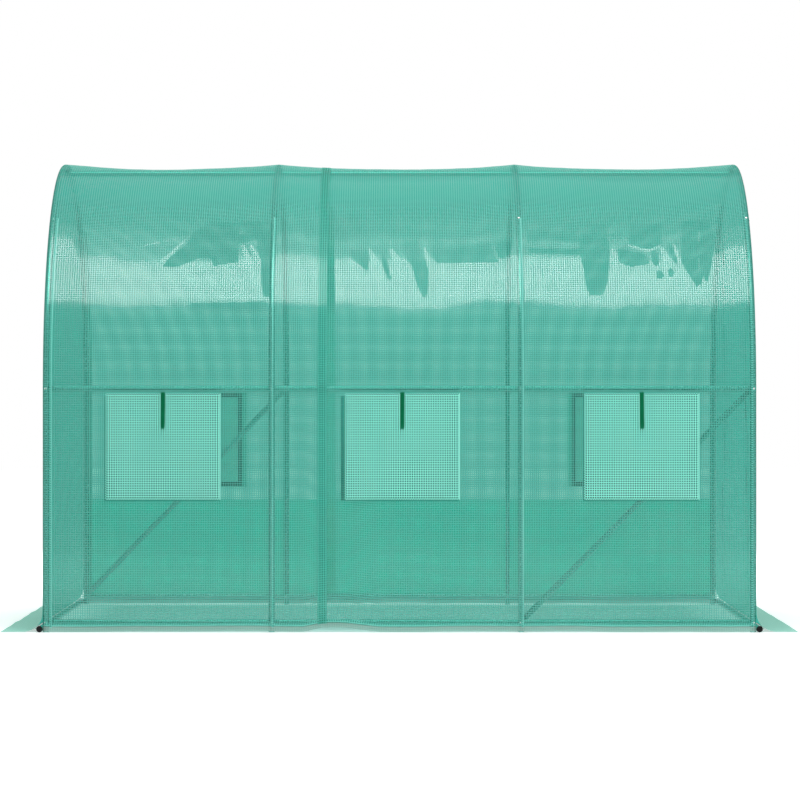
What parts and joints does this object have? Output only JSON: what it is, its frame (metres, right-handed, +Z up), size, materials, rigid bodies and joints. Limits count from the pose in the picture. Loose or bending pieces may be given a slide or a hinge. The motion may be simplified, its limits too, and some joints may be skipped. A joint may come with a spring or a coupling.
{
  "type": "polytunnel greenhouse",
  "caption": "Walk-in tunnel greenhouse: a frame of round steel hoops and rails under a see-through green grid film cover with flap windows and a zipped end door.",
  "frame": {"origin": "middle of the tunnel on the ground", "axes": "+X along the tunnel towards the door end, +Y towards the back wall, +Z up"},
  "size_m": [3.356, 2.016, 2.0273],
  "materials": {
    "galvanised_tube": "galvanised, satin",
    "plug_plastic": "matte",
    "cover_film": "glossy film with a woven grid",
    "flap_film": "glossy film with a woven grid",
    "screen_mesh": "fine woven mesh",
    "strap_webbing": "woven webbing"
  },
  "bodies": {
    "root": {"back_brace": "galvanised_tube", "back_flap_straps": "strap_webbing", "back_wall_cover": "cover_film", "back_window_flaps": "flap_film", "back_window_screens": "screen_mesh", "base_bars_left": "galvanised_tube", "base_bars_middle": "galvanised_tube", "base_bars_right": "galvanised_tube", "crossbar_plugs": "plug_plastic", "front_brace": "galvanised_tube", "front_flap_straps": "strap_webbing", "front_wall_cover": "cover_film", "front_window_flaps": "flap_film", "front_window_screens": "screen_mesh", "hoop_1_crown": "galvanised_tube", "hoop_1_haunches": "galvanised_tube", "hoop_1_legs": "galvanised_tube", "hoop_2_crown": "galvanised_tube", "hoop_2_haunches": "galvanised_tube", "hoop_2_legs": "galvanised_tube", "hoop_3_crown": "galvanised_tube", "hoop_3_haunches": "galvanised_tube", "hoop_3_legs": "galvanised_tube", "hoop_4_crown": "galvanised_tube", "hoop_4_haunches": "galvanised_tube", "hoop_4_legs": "galvanised_tube", "left_crossbar": "galvanised_tube", "left_end_cover": "cover_film", "left_ground_skirt": "cover_film", "ridge_beam_left": "galvanised_tube", "ridge_beam_middle": "galvanised_tube", "ridge_beam_right": "galvanised_tube", "right_crossbar": "galvanised_tube", "right_end_cover": "cover_film", "right_ground_skirt": "cover_film", "roof_cover_1": "cover_film", "roof_cover_2": "cover_film", "roof_cover_3": "cover_film", "roof_cover_4": "cover_film", "roof_cover_5": "cover_film", "roof_cover_6": "cover_film", "side_rails_left": "galvanised_tube", "side_rails_middle": "galvanised_tube", "side_rails_right": "galvanised_tube", "zipped_door": "cover_film"}
  },
  "joints": []
}
